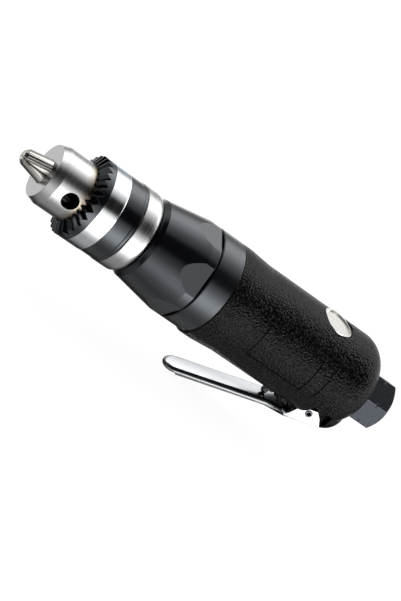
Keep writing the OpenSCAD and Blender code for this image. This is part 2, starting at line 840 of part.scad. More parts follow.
module valve_seal() {
    color("#303030") difference() {
        post(valve_x, seat_z + seat_gap, seal_t, bush_bore_d - 2 * free_gap);
        post(valve_x, seat_z - cut, grip_d, stem_d + seat_gap);
    }
}

// Compression spring between the valve head and the plug, as one swept tube
spring_z0 = seat_z + seal_t + head_h + spring_wire / 2 + 2 * seat_gap;
spring_z1 = plug_seat_z - plug_spigot_h - spring_wire / 2 - seat_gap;
spring_rings = spring_steps * spring_turns;
spring_sides = 6;
function spring_point(i, j) =
    let (a = i * 360 / spring_steps, b = j * 360 / spring_sides,
         r = (spring_d - spring_wire) / 2 + spring_wire / 2 * cos(b),
         z = spring_z0 + (spring_z1 - spring_z0) * i / spring_rings)
    [r * cos(a), r * sin(a), z + spring_wire / 2 * sin(b)];

module throttle_spring() {
    points = [for (i = [0 : spring_rings], j = [0 : spring_sides - 1]) spring_point(i, j)];
    n = spring_sides;
    walls = [for (i = [0 : spring_rings - 1], j = [0 : n - 1])
        each [[i * n + j, (i + 1) * n + j, i * n + (j + 1) % n],
              [i * n + (j + 1) % n, (i + 1) * n + j, (i + 1) * n + (j + 1) % n]]];
    ends = [[for (j = [0 : n - 1]) j], [for (j = [n - 1 : -1 : 0]) spring_rings * n + j]];
    color("silver") translate([valve_x, 0, 0]) polyhedron(points, concat(walls, ends));
}
echo(spring_least_gap = (spring_z1 - spring_z0) / spring_turns - spring_wire);

// Bright plug that closes the top of the throttle bore
module valve_plug() {
    color("whitesmoke") difference() {
        union() {
            post(valve_x, plug_seat_z + seat_gap, plug_flange_t, plug_d);
            post(valve_x, plug_seat_z - plug_spigot_h, plug_spigot_h + plug_flange_t / 2, plug_spigot_d);
        }
        post(valve_x, plug_top_z - plug_dish, plug_d, plug_d - 2 * plug_rim_w);
        ring_groove(valve_x, oring_z, plug_spigot_d - oring_wire, oring_wire);
    }
}

module ring_groove(x, z, d, wire) {
    translate([x, 0, z]) rotate_extrude() translate([d / 2, 0]) circle(d = wire + 2 * run_gap, $fn = 32);
}

module plug_oring() {
    color("#303030") translate([valve_x, 0, oring_z]) rotate_extrude()
        translate([(plug_spigot_d - oring_wire) / 2, 0]) circle(d = oring_wire, $fn = 32);
}

// Black guide round the stem, standing out of the grip
module stem_guide() {
    low_z = -grip_r - grip_drop - stem_guide_reach;
    color("#202020") difference() {
        post(valve_x, low_z, stem_guide_reach + stem_guide_in - seat_gap, stem_guide_d);
        post(valve_x, low_z - cut, grip_d, stem_d + 2 * run_gap);
    }
}

// Places the lever's own frame, with its origin at the pin
module at_lever() {
    translate([pin_x, 0, pin_z]) rotate([0, -lever_rest, 0]) children();
}

// Plan of the lever, seen from above: a slim finger part with a round tip and a wider rear
module lever_plan(inset, end_x) {
    half = lever_w / 2 - inset;
    wide = ear_out - inset;
    shoulder_x = -ear_front - shoulder_len;
    polygon(concat(arc([lever_w / 2 - lever_len, 0], half, 90, 270, 16),
        [[shoulder_x, -half], [-ear_front, -wide], [end_x, -wide],
         [end_x, wide], [-ear_front, wide], [shoulder_x, half]]));
}

// Pressed sheet: a web with turned-down edges, and two ears with the pin hole
module throttle_lever() {
    edge_h = lever_h - web_drop - lever_t;
    ear = [[-ear_front, -lever_h], [-ear_crest, ear_top], [ear_back, ear_top], ear_bend,
        [ear_tail, -lever_h]];
    color("gainsboro") at_lever() difference() {
        union() {
            difference() {
                translate([0, 0, -lever_h]) linear_extrude(lever_h - web_drop) lever_plan(0, -web_end);
                translate([0, 0, -lever_h - cut]) linear_extrude(edge_h + cut) lever_plan(lever_t, 0);
                // the edges start behind the round tip
                translate([-lever_len - cut, -lever_w, -lever_h - cut])
                    cube([lever_len - edge_start + cut, 2 * lever_w, edge_h - tip_rim + cut]);
            }
            for (side = [-1, 1]) translate([0, side * (ear_in + lever_t / 2) + lever_t / 2, 0])
                rotate([90, 0, 0]) linear_extrude(lever_t) polygon(ear);
        }
        cross_rod(0, 0, 4 * ear_out, lever_pin_d + 2 * run_gap);
        cross_rod(latch_x, -latch_drop, 4 * ear_out, latch_pin_d + 2 * seat_gap);
        translate([latch_x - latch_slot_front, -latch_w / 2 - free_gap, -lever_h - cut])
            cube([latch_slot_len, latch_w + 2 * free_gap, lever_h]);
    }
}

// Rolled spring pin with a slit along its rear side
module lever_pin() {
    len = 2 * (ear_out + pin_stand);
    color("silver") difference() {
        cross_rod(pin_x, pin_z, len, lever_pin_d);
        cross_rod(pin_x, pin_z, len + 2 * cut, lever_pin_d - 2 * pin_wall);
        translate([pin_x, -len / 2 - cut, pin_z - pin_slit / 2]) cube([lever_pin_d, len + 2 * cut, pin_slit]);
    }
}

// Latch: an arm that stands against the grip, and a quarter disc that hangs under the lever
module safety_latch() {
    color("#252525") at_lever() translate([latch_x, 0, -latch_drop]) difference() {
        union() {
            cross_rod(0, 0, latch_w, 2 * latch_r);
            rotate([0, -latch_lean, 0]) translate([-latch_t / 2, -latch_w / 2, 0])
                cube([latch_t, latch_w, latch_arm]);
            intersection() {
                cross_rod(0, 0, latch_w, 2 * latch_cam_r);
                translate([-latch_cam_r, -latch_w / 2, -latch_cam_r])
                    cube([latch_cam_r, latch_w, latch_cam_r]);
            }
        }
        cross_rod(0, 0, 2 * latch_w, latch_pin_d + 2 * run_gap);
    }
}

module latch_pin() {
    color("silver") at_lever() cross_rod(latch_x, -latch_drop, latch_pin_len, latch_pin_d);
}

// Hexagon bushing with a pipe thread, two turned nicks and a rounded rear edge
module inlet_bushing() {
    hex_r = inlet_af / 2 / cos(30);
    clear_r = hex_r + free_gap;
    flat_r = inlet_af / 2;
    nicks = [for (s = inlet_nick_shares) grip_end_x + s * inlet_hex_len];
    color("#3a3a3a") difference() {
        union() {
            intersection() {
                along_x(grip_end_x + seat_gap, -inlet_drop)
                    rotate(inlet_turn) cylinder(r = hex_r, h = inlet_hex_len - seat_gap, $fn = 6);
                turned([[grip_end_x, 0], [grip_end_x, clear_r],
                    for (x = nicks) each [[x, clear_r], [x + inlet_nick_w / 2, hex_r - inlet_nick_depth],
                        [x + inlet_nick_w, clear_r]],
                    [inlet_end_x - inlet_bevel, clear_r], [inlet_end_x, flat_r - inlet_bevel / 2],
                    [inlet_end_x, 0]], -inlet_drop);
            }
            rod(inlet_x + seat_gap, inlet_spigot_len + cut, inlet_spigot_d, -inlet_drop);
        }
        rod(inlet_end_x - inlet_depth, inlet_depth + cut, inlet_bore_d, -inlet_drop);
        rod(inlet_x - cut, inlet_hex_len + inlet_spigot_len, inlet_waist_d, -inlet_drop);
        translate([inlet_oring_x, 0, -inlet_drop]) rotate([0, 90, 0])
            ring_groove(0, 0, inlet_spigot_d - oring_wire, oring_wire);
    }
}

module inlet_oring() {
    color("#303030") translate([inlet_oring_x, 0, -inlet_drop]) rotate([0, 90, 0]) rotate_extrude()
        translate([(inlet_spigot_d - oring_wire) / 2, 0]) circle(d = oring_wire, $fn = 32);
}

// Thimble strainer in the inlet
module inlet_screen() {
    d = inlet_waist_d - 2 * seat_gap;
    color("khaki") difference() {
        rod(inlet_x + free_gap, screen_len, d, -inlet_drop);
        rod(inlet_x + free_gap + screen_t, screen_len, d - 2 * screen_t, -inlet_drop);
    }
}

chuck_body();
chuck_sleeve();
chuck_nut();
jaw_1();
jaw_2();
jaw_3();
nose_housing();
spindle_seal();
output_spindle();
planet_pins();
planet_gear_1();
planet_gear_2();
planet_gear_3();
ring_gear();
spindle_bearing_outer();
spindle_bearing_inner();
spindle_bearing_balls();
motor_case();
front_end_plate();
motor_cylinder();
rear_end_plate();
cylinder_dowel();
rotor();
rotor_vanes();
front_bearing_outer();
front_bearing_inner();
front_bearing_balls();
rear_bearing_outer();
rear_bearing_inner();
rear_bearing_balls();
grip_housing();
throttle_bushing();
throttle_valve();
valve_seal();
throttle_spring();
valve_plug();
plug_oring();
stem_guide();
throttle_lever();
lever_pin();
safety_latch();
latch_pin();
inlet_bushing();
inlet_oring();
inlet_screen();
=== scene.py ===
# %% [markdown]
# # An air drill with a keyed chuck
# The solids come from a CAD model, already in place and in metres. This lesson gives them the finishes of
# the real tool, rounds the edges that a hand would feel, and lights them like a catalogue photograph. X
# runs along the spin axis from the jaw tips to the air inlet, and Z points up.

# %% Load the CAD model
import json
import math

import bpy
from mathutils import Matrix, Vector

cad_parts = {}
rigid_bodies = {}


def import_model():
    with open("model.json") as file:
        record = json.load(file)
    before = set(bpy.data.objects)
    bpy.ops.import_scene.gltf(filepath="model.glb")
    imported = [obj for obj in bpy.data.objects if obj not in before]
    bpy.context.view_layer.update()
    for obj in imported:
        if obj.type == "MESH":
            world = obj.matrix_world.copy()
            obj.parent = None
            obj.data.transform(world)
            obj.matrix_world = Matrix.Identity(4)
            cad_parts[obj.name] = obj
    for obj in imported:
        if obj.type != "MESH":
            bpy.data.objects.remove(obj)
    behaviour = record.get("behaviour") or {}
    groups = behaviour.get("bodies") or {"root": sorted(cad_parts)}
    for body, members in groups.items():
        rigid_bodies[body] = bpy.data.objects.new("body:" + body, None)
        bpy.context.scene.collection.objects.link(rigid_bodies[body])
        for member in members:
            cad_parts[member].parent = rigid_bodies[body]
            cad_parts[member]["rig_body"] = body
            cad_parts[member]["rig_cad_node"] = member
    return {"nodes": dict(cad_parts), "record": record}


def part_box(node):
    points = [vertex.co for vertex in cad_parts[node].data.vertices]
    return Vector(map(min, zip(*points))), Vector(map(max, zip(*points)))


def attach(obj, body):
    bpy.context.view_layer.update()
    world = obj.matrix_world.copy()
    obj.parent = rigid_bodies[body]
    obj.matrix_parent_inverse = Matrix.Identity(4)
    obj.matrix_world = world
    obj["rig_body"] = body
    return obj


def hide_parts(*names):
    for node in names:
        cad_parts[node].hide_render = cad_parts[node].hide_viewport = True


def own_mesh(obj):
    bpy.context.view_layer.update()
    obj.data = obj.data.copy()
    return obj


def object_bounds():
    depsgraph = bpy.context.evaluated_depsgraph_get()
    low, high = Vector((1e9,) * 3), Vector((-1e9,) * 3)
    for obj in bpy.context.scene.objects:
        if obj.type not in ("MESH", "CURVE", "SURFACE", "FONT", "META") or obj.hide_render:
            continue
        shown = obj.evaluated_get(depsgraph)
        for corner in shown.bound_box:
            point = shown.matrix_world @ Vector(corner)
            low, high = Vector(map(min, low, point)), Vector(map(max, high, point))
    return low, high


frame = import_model()
cad_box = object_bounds()
node = frame["nodes"]
mm = 0.001
print("CAD nodes:", len(node))

# %% [markdown]
# ## The camera
# The photograph is taken with a long lens from in front, on the near side and a little above, and the
# frame is rolled so that the drill lies across it. The three directions below are the camera's own right,
# up and back, so one matrix sets place and roll together.

# %% Photo camera
camera_place = Vector((-291.608, -753.343, 375.666)) * mm
camera_right = Vector((0.74722, -0.04984, 0.66270))
camera_up = Vector((-0.51548, 0.58592, 0.62529))
camera_back = camera_right.cross(camera_up)
film_height = 36
focal_length = 137.77

lens = bpy.data.cameras.new("photo_lens")
lens.sensor_fit = "VERTICAL"
lens.sensor_height = film_height
lens.lens = focal_length
camera = bpy.data.objects.new("photo_camera", lens)
bpy.context.scene.collection.objects.link(camera)
camera.matrix_world = Matrix.Translation(camera_place) @ Matrix(
    (camera_right, camera_up, camera_back)).transposed().to_4x4()
bpy.context.scene.camera = camera
print("camera at", [round(c, 3) for c in camera.location])

# %% [markdown]
# ## Helpers for shader nodes
# Every finish and light below is a small tree of shader nodes, so a few short functions make the nodes,
# join them, and start a material. They keep each later cell down to what is special about its surface.

# %% Shader helpers
def add(tree, kind, inputs=None, **settings):
    """A new shader node, with its settings, and with its inputs given as values or as sockets."""
    made = tree.nodes.new("ShaderNode" + kind)
    for key, value in settings.items():
        setattr(made, key, value)
    for key, value in (inputs or {}).items():
        if isinstance(value, bpy.types.NodeSocket):
            tree.links.new(value, made.inputs[key])
        else:
            made.inputs[key].default_value = value
    return made


def calc(tree, operation, a, b=0.0, c=0.0):
    return add(tree, "Math", {0: a, 1: b, 2: c}, operation=operation).outputs[0]


def ramp(tree, value, stops, interpolation="LINEAR"):
    """A colour ramp. Each stop is a place and a grey or a colour."""
    made = add(tree, "ValToRGB", {"Fac": value})
    band = made.color_ramp
    band.interpolation = interpolation
    while len(band.elements) < len(stops):
        band.elements.new(0.5)
    for element, (place, shade) in zip(band.elements, stops):
        element.position = place
        colour = shade if isinstance(shade, tuple) else (shade, shade, shade)
        element.color = (*colour, 1)
    return made.outputs["Color"]


def finish(name, colour=(0.5, 0.5, 0.5), metallic=0.0, roughness=0.5, **sockets):
    """A new material with one shader. Values that are the same all over go straight on its sockets."""
    material = bpy.data.materials.new(name)
    material.use_nodes = True
    shader = material.node_tree.nodes["Principled BSDF"]
    shader.inputs["Base Color"].default_value = (*colour, 1)
    shader.inputs["Metallic"].default_value = metallic
    shader.inputs["Roughness"].default_value = roughness
    for key, value in sockets.items():
        shader.inputs[key.replace("_", " ")].default_value = value
    return material, material.node_tree, shader


print("shader helpers ready")

# %% [markdown]
# ## The room of light
# Polished round metal shows its surroundings, so the light is a whole room: a strip in front, a sheet
# overhead, a pale table and a back wall. The gap between strip and sheet stays dark, and that gap is the
# black stripe along the steel. Each light is two ramps: one over the angle round the X axis, where 0 is
# the near side and 90 is up, and one over the direction along X.

# %% Room of light
room = {
    "front strip": (
        [(-50, 0), (-36, 1.2), (-22, 4.6), (-8, 6.2), (4, 4.4), (14, 2.4), (27, 1.3), (33, 0.4), (38, 0)],
        [(-0.2, 0.12), (0.05, 0.22), (0.32, 1), (1, 1)]),
    "overhead sheet": (
        [(68, 0), (76, 0.6), (90, 1.3), (107, 3.1), (123, 4.0), (138, 2.8), (152, 0.9), (168, 0)],
        [(-0.75, 0), (-0.5, 0.8), (-0.2, 1), (1, 1)]),
    "table": (
        [(-130, 0.25), (-117, 0.06), (-104, 0.3), (-85, 0.5), (-55, 0.75), (-20, 0.8), (0, 0.3), (20, 0)],
        [(-0.85, 0.1), (-0.5, 1), (1, 1)]),
    "back wall": (
        [(-180, 0.95), (-145, 0.9), (-128, 0.2), (-115, 0), (150, 0), (168, 0.33), (180, 0.95)],
        [(-0.8, 0), (-0.5, 1), (1, 1)]),
}
faint_light = 0.012

world = bpy.data.worlds.new("studio")
bpy.context.scene.world = world
world.use_nodes = True
tree = world.node_tree
tree.nodes.clear()
side = add(tree, "SeparateXYZ", {0: add(tree, "TexCoord").outputs["Generated"]})
turn = calc(tree, "ARCTAN2", side.outputs["Z"], calc(tree, "MULTIPLY", side.outputs["Y"], -1.0))
turn_share = calc(tree, "MULTIPLY_ADD", turn, 1 / math.tau, 0.5)
length_share = calc(tree, "MULTIPLY_ADD", side.outputs["X"], 0.5, 0.5)
total = faint_light
for name, (round_x, along_x) in room.items():
    brightest = max(level for angle, level in round_x)
    bow = ramp(tree, turn_share, [(angle / 360 + 0.5, level / brightest) for angle, level in round_x])
    reach = ramp(tree, length_share, [(place / 2 + 0.5, level) for place, level in along_x])
    light = calc(tree, "MULTIPLY", calc(tree, "MULTIPLY", bow, reach), brightest)
    total = calc(tree, "ADD", total, light)
sky = add(tree, "Background", {"Color": (1, 1, 1, 1), "Strength": total})
tree.links.new(sky.outputs[0], add(tree, "OutputWorld").inputs["Surface"])
bpy.context.scene.view_settings.view_transform = "Standard"
bpy.context.scene.view_settings.look = "None"
print("lights in the room:", ", ".join(room))

# %% [markdown]
# ## The floor
# The tool rests on a plain pale floor. A white sheet under a lamp would do, but its shadows would be heavy,
# so the floor is a light table that glows and keeps them faint. Polished steel would mirror that glow too
# brightly, so the floor is hidden from mirror rays.

# %% Floor
floor_z = cad_box[0][2]
floor_r = 8
floor_glow = 0.93
bpy.ops.object.select_all(action="DESELECT")
bpy.ops.mesh.primitive_circle_add(vertices=64, radius=floor_r, fill_type="NGON", location=(0, 0, floor_z))
floor = bpy.context.object
floor.name = "studio_floor"
floor.visible_glossy = False
paper, tree, shader = finish("light_table", (0.1, 0.1, 0.1), roughness=0.9, Emission_Color=(1, 1, 1, 1),
                             Emission_Strength=floor_glow)
floor.data.materials.append(paper)
print("floor at", round(floor_z / mm, 2), "mm")

# %% [markdown]
# ## The grey card
# Mirrors need something in the floor's place. A photographer lays a card under the tool for that. This one
# glows, pale at its edges, and is dark under the tool: a painted shadow of the tool, as mirrors would see
# it on the floor. Only mirror rays see it.

# %% Grey card
# The dark stretch under the tool is a painted shadow; the glowing rest stands in for the floor.
card_glow_and_painted_shadow = [(-42, 0.55), (-20, 0.5), (-9, 0.3), (0, 0.05), (12, 0.05), (22, 0.4), (40, 0.9)]
card_glow_and_painted_shadow = [(place * mm, level) for place, level in card_glow_and_painted_shadow]
card_front, card_back = card_glow_and_painted_shadow[0][0], card_glow_and_painted_shadow[-1][0]
card_depth = card_back - card_front
card_len = 900 * mm
card_mid_x = 100 * mm
card_lift = 0.2 * mm
card_place = Vector((card_mid_x, (card_front + card_back) / 2, floor_z + card_lift))
bpy.ops.object.select_all(action="DESELECT")
bpy.ops.mesh.primitive_plane_add(size=1, location=card_place)
card = bpy.context.object
card.name = "grey_card"
card.scale = (card_len, card_depth, 1)
bpy.ops.object.transform_apply(location=True, scale=True)
card.visible_camera = card.visible_diffuse = card.visible_shadow = False
grey, tree, shader = finish("grey_card", (0, 0, 0), Specular_IOR_Level=0, Emission_Strength=1)
y_place = add(tree, "SeparateXYZ", {0: add(tree, "TexCoord").outputs["Object"]}).outputs["Y"]
across_card = calc(tree, "MULTIPLY_ADD", y_place, 1 / card_depth, -card_front / card_depth)
card_painted_shadow_stops = [((place - card_front) / card_depth, level) for place, level in card_glow_and_painted_shadow]
tree.links.new(ramp(tree, across_card, card_painted_shadow_stops), shader.inputs["Emission Color"])
card.data.materials.append(grey)
print("card of", round(card_depth / mm), "mm under the tool")

# %% [markdown]
# ## The flag
# The upper flat of the inlet would mirror the overhead sheet and turn white. A photographer holds a dim
# cloth, a flag, between the two. It stands where a ray from the camera goes on after it meets that flat, so
# it fills just that reflection. Only mirror rays see it.

# %% Flag
inlet_flat = Vector((185, -9, 9))
flag_way = Vector((0.4955, -0.124, 0.86))
flag_distance = 100
flag_size = 60 * mm
flag_glow = 0.25
flag_place = (inlet_flat + flag_distance * flag_way) * mm
bpy.ops.object.select_all(action="DESELECT")
bpy.ops.mesh.primitive_plane_add(size=flag_size, location=flag_place,
                                 rotation=flag_way.to_track_quat("Z", "Y").to_euler())
flag = bpy.context.object
flag.name = "grey_flag"
bpy.ops.object.transform_apply(location=True, rotation=True)
flag.visible_camera = flag.visible_diffuse = flag.visible_shadow = False
cloth, tree, shader = finish("grey_cloth", roughness=1.0, Specular_IOR_Level=0, Emission_Color=(1, 1, 1, 1),
                             Emission_Strength=flag_glow)
fibres = add(tree, "TexNoise", {"Vector": add(tree, "TexCoord").outputs["Object"], "Scale": 2000.0})
tree.links.new(ramp(tree, fibres.outputs["Fac"], [(0.3, 0.005), (0.7, 0.02)]), shader.inputs["Base Color"])
flag.data.materials.append(cloth)
print("flag at", [round(c / mm) for c in flag_place], "mm")

# %% [markdown]
# ## Patterns on metal
# A lathe leaves fine rings round the axis. The rings come from noise that reads only the place along X and
# the distance from the axis, so they run round the piece whatever its shape. A bevel node rounds the
# shading of each edge a little, as a lathe hand breaks it with a file.

# %% Patterns on metal
def tinted(colour, share):
    return tuple(c * share for c in colour)


def place_on_part(tree):
    return add(tree, "TexCoord").outputs["Object"]


def distance_from_axis(tree, parts):
    squares = [calc(tree, "MULTIPLY", parts.outputs[k], parts.outputs[k]) for k in ("Y", "Z")]
    return calc(tree, "SQRT", calc(tree, "ADD", *squares))


def lathe_rings(tree, lines):
    """Noise in rings round X, with so many lines in a metre."""
    parts = add(tree, "SeparateXYZ", {0: place_on_part(tree)})
    along = add(tree, "CombineXYZ", {"X": parts.outputs["X"], "Y": distance_from_axis(tree, parts)})
    return add(tree, "TexNoise", {"Vector": along.outputs[0], "Scale": lines, "Detail": 4.0}).outputs["Fac"]


def smudges(tree, scale):
    place = place_on_part(tree)
    return add(tree, "TexNoise", {"Vector": place, "Scale": scale, "Detail": 3.0}).outputs["Fac"]


def rough_up(tree, shader, height, strength, depth, edge=0.25):
    """A bump from a height, over edges that shade as if they were broken by so many millimetres."""
    broken = add(tree, "Bevel", {"Radius": edge * mm}, samples=4)
    made = add(tree, "Bump", {"Height": height, "Strength": strength, "Distance": depth,
                              "Normal": broken.outputs[0]})
    tree.links.new(made.outputs[0], shader.inputs["Normal"])


def vary(tree, socket, pattern, low, high, start=0.3, end=0.7):
    """Drives a socket of a shader between two values, over the middle of a pattern."""
    tree.links.new(ramp(tree, pattern, [(start, low), (end, high)]), socket)


print("patterns ready")

# %% [markdown]
# ## Turned and cast metal
# On turned steel the rings vary the colour and the gloss a little, and a small bump breaks the reflections
# into streaks. Cast metal has grains instead of rings. A finish goes on the material slots of a CAD node
# and leaves its mesh as it is.

# %% Turned and cast metal
def turned_metal(name, colour, gloss, lines=3200, streak=0.12, edge=0.25):
    material, tree, shader = finish(name, colour, 1.0)
    rings = lathe_rings(tree, lines)
    vary(tree, shader.inputs["Base Color"], rings, tinted(colour, 0.86), colour)
    vary(tree, shader.inputs["Roughness"], rings, *gloss)
    rough_up(tree, shader, rings, streak, depth=0.06 * mm, edge=edge)
    return material


def cast_metal(name, colour, gloss=(0.4, 0.6), grain=900):
    material, tree, shader = finish(name, colour, 1.0)
    spots = smudges(tree, grain)
    vary(tree, shader.inputs["Base Color"], spots, tinted(colour, 0.75), colour)
    vary(tree, shader.inputs["Roughness"], spots, *gloss)
    rough_up(tree, shader, spots, strength=0.3, depth=0.1 * mm)
    return material


def wear(names, material):
    """Gives the CAD nodes of these names this material."""
    for name in names.split():
        for slot in node[name].material_slots:
            slot.link = "OBJECT"
            slot.material = material


wear("output_spindle planet_pins cylinder_dowel latch_pin",
     turned_metal("pin_steel", (0.6, 0.6, 0.6), (0.15, 0.28)))
wear("lever_pin throttle_valve", turned_metal("dark_pin_steel", (0.09, 0.09, 0.095), (0.2, 0.32)))
print("steel finishes on the pins")

# %% [markdown]
# ## The nose of the chuck
# The nose is bright turned steel. Where it meets the gear ring, old oil has left a brown stain, and the
# insides of the key holes are painted dark as shade. Both are masks over the finish: one over the place
# along X, one over the distance from the axis.

# %% Nose of the chuck
nose_steel = (0.42, 0.42, 0.42)
# The near black inside the key holes is painted shade.
clean, oil_brown, hole_painted_shade = (1, 1, 1), (0.55, 0.46, 0.36), (0.05, 0.045, 0.035, 1)
stain_scale = 40
stain = [(23.2, clean), (26.6, oil_brown), (28, oil_brown), (30, clean)]
key_hole_x = 13.6 * mm
nose_inside_r = 12.3 * mm
nose_finish = turned_metal("bright_turned_steel", nose_steel, (0.2, 0.33), streak=0.15)
tree = nose_finish.node_tree
shader = tree.nodes["Principled BSDF"]
parts = add(tree, "SeparateXYZ", {0: place_on_part(tree)})
stain_place = calc(tree, "MULTIPLY", parts.outputs["X"], 1 / (stain_scale * mm))
stain_colour = ramp(tree, stain_place, [(x / stain_scale, colour) for x, colour in stain])
# Mask for the painted shade inside the key holes.
inside = calc(tree, "MULTIPLY", calc(tree, "GREATER_THAN", parts.outputs["X"], key_hole_x),
              calc(tree, "LESS_THAN", distance_from_axis(tree, parts), nose_inside_r))
bright = shader.inputs["Base Color"].links[0].from_socket
stained = add(tree, "Mix", {"Factor": 1.0, "A": bright, "B": stain_colour},
              data_type="RGBA", blend_type="MULTIPLY")
darkened = add(tree, "Mix", {"Factor": inside, "A": stained.outputs["Result"], "B": hole_painted_shade},
               data_type="RGBA")
tree.links.new(darkened.outputs["Result"], shader.inputs["Base Color"])
wear("chuck_body", nose_finish)
print("steel finish on the nose, stained near", stain[1][0], "mm")

# %% [markdown]
# ## The chuck sleeve
# The sleeve is one piece with two looks: it is blackened all over and then one band is turned bright. A
# mask over the place along X chooses between the two, so the border is as crisp as the tool left it.

# %% Chuck sleeve
steel = (0.62, 0.63, 0.64)
bright_band = (32.8 * mm, 40.5 * mm)
black = (0.0028, 0.003, 0.0036)
black_gloss = {"IOR": 1.52, "Specular_Tint": (0.86, 0.93, 1, 1)}
sleeve_finish, tree, shader = finish("blackened_sleeve", **black_gloss)
x_place = add(tree, "SeparateXYZ", {0: place_on_part(tree)}).outputs["X"]
band = calc(tree, "MULTIPLY", calc(tree, "GREATER_THAN", x_place, bright_band[0]),
            calc(tree, "LESS_THAN", x_place, bright_band[1]))
rings = lathe_rings(tree, lines=3200)
bright_look = ramp(tree, rings, [(0.3, tinted(steel, 0.86)), (0.7, steel)])
dark_look = ramp(tree, smudges(tree, scale=300), [(0.3, tinted(black, 0.7)), (0.7, black)])
colour = add(tree, "Mix", {"Factor": band, "A": dark_look, "B": bright_look}, data_type="RGBA")
tree.links.new(colour.outputs["Result"], shader.inputs["Base Color"])
tree.links.new(band, shader.inputs["Metallic"])
vary(tree, shader.inputs["Roughness"], rings, low=0.11, high=0.2)
rough_up(tree, shader, rings, strength=0.12, depth=0.06 * mm)
wear("chuck_sleeve", sleeve_finish)
print("sleeve finish: bright from", bright_band[0] / mm, "to", bright_band[1] / mm, "mm")

# %% [markdown]
# ## Black anodised aluminium
# The nose housing and the ring are turned, then anodised: a hard dark skin that mirrors the lights weakly
# and sharply. It is a dark surface with a clear gloss, not a black metal.

# %% Anodised housing and ring
def anodised(name, gloss):
    material, tree, shader = finish(name, black, **black_gloss)
    rings = lathe_rings(tree, lines=1600)
    patches = smudges(tree, scale=160)
    vary(tree, shader.inputs["Base Color"], patches, tinted(black, 0.75), tinted(black, 1.2))
    vary(tree, shader.inputs["Roughness"], rings, *gloss)
    rough_up(tree, shader, rings, strength=0.15, depth=0.03 * mm)
    return material


wear("nose_housing", anodised("gloss_black_anodised", (0.12, 0.2)))
wear("motor_case", anodised("satin_black_anodised", (0.2, 0.3)))
print("anodised finish on the housing and the ring")

# %% [markdown]
# ## The pebbled grip
# The grip is cast with a leather-like grain about a millimetre wide: round pebbles with narrow valleys.
# Cell noise gives the pebbles, a finer noise roughens them, and their tops are painted paler: painted
# glints of light on the pebbles.

# %% Pebbled grip
grip_black = (0.0045, 0.0045, 0.0047)
pebbles_per_metre = 1100.0
wobbles_per_metre = 500.0
wobble_reach = 0.0012
specks_per_metre = 2600.0
speck_share = 0.18
grip_finish, tree, shader = finish("pebbled_black", grip_black, IOR=1.17)
spot = place_on_part(tree)
wobble = add(tree, "TexNoise", {"Vector": spot, "Scale": wobbles_per_metre, "Detail": 2.0}).outputs["Color"]
moved = add(tree, "Mix", {"Factor": wobble_reach, "A": spot, "B": wobble},
            data_type="RGBA", blend_type="ADD")
cells = add(tree, "TexVoronoi", {"Vector": moved.outputs["Result"], "Scale": pebbles_per_metre,
                                 "Smoothness": 0.2}, feature="SMOOTH_F1").outputs["Distance"]
pebble = calc(tree, "SUBTRACT", 1.0, cells)
fine = add(tree, "TexNoise", {"Vector": spot, "Scale": specks_per_metre, "Detail": 3.0}).outputs["Fac"]
relief = calc(tree, "MULTIPLY_ADD", fine, speck_share, pebble)
# The pale pebble tops are painted glints of light.
painted_glint_tops = [(place, tinted(grip_black, share)) for place, share in ((0.5, 0.05), (0.7, 0.7), (0.88, 7))]
tree.links.new(ramp(tree, pebble, painted_glint_tops), shader.inputs["Base Color"])
vary(tree, shader.inputs["Roughness"], fine, low=0.2, high=0.32)
rough_up(tree, shader, relief, strength=1.0, depth=0.3 * mm)
wear("grip_housing", grip_finish)
print("grain on the grip")

# %% [markdown]
# ## Chrome, plastic and the inlet
# The lever is pressed sheet with bright chrome, the stem guide and the latch are black plastic, and the
# inlet bushing is steel with a dark phosphate skin. Chrome and plastic have no rings, so soft noise varies
# their gloss.

# %% Chrome, plastic and the inlet
def chromed(name, colour, gloss):
    material, tree, shader = finish(name, colour, 1.0)
    haze = smudges(tree, scale=220)
    vary(tree, shader.inputs["Base Color"], haze, tinted(colour, 0.93), colour)
    vary(tree, shader.inputs["Roughness"], haze, *gloss, start=0.35)
    rough_up(tree, shader, smudges(tree, scale=60), strength=0.03, depth=0.3 * mm)
    return material


def moulded_plastic(name, colour, gloss=(0.3, 0.45), grain=1800):
    material, tree, shader = finish(name, colour)
    specks = smudges(tree, grain)
    vary(tree, shader.inputs["Base Color"], specks, tinted(colour, 0.7), tinted(colour, 1.3))
    vary(tree, shader.inputs["Roughness"], specks, *gloss)
    rough_up(tree, shader, specks, strength=0.2, depth=0.08 * mm)
    return material


wear("throttle_lever", chromed("lever_chrome", (0.42, 0.43, 0.445), (0.14, 0.24)))
wear("stem_guide safety_latch", moulded_plastic("black_plastic", (0.014, 0.014, 0.015)))
gunmetal = (0.062, 0.067, 0.078)
wear("inlet_bushing", turned_metal("gunmetal", gunmetal, (0.18, 0.28), lines=2400, edge=0.5))
print("lever, latch and inlet finished")

# %% [markdown]
# ## The finish of the jaws
# The jaws are ground steel, and painted dark as shade where they sit in the nose, where the key holes show
# them. They get the finish of the lever in another grey, and a mask over the place along X paints shade on
# the sunk part.

# %% Finish of the jaws
jaw_steel = (0.5, 0.49, 0.46)
